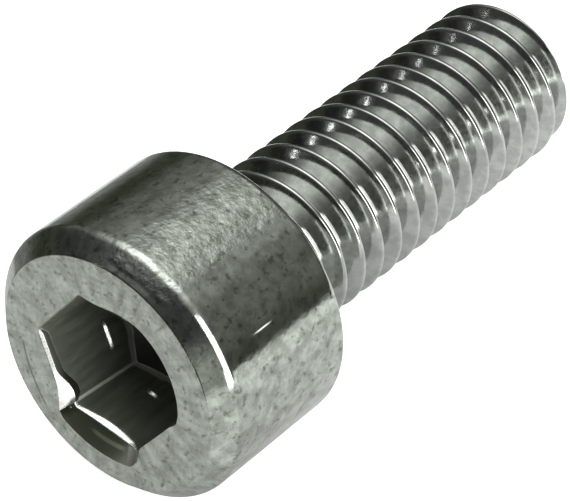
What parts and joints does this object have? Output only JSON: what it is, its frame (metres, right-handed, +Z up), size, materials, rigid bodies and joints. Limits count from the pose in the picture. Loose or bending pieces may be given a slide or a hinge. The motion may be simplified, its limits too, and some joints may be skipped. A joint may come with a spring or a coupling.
{
  "type": "socket head cap screw",
  "caption": "Screw with a tall cylindrical head, a hexagon socket in its face and a metric thread along the whole shank, which clamps parts into a tapped hole.",
  "frame": {"origin": "on the surface that the screw lies on, under the middle of its bounding box", "axes": "+X from the head to the tip along that surface, +Z up; the screw's own axis dips towards its tip, because it lies on the head's rear edge and the thread by the tip"},
  "size_m": [0.0226, 0.01, 0.0106],
  "materials": {
    "plated_steel": "bright zinc plate, faintly mottled, bare of marks"
  },
  "bodies": {
    "root": {"socket_cap_screw": "plated_steel"}
  },
  "joints": []
}
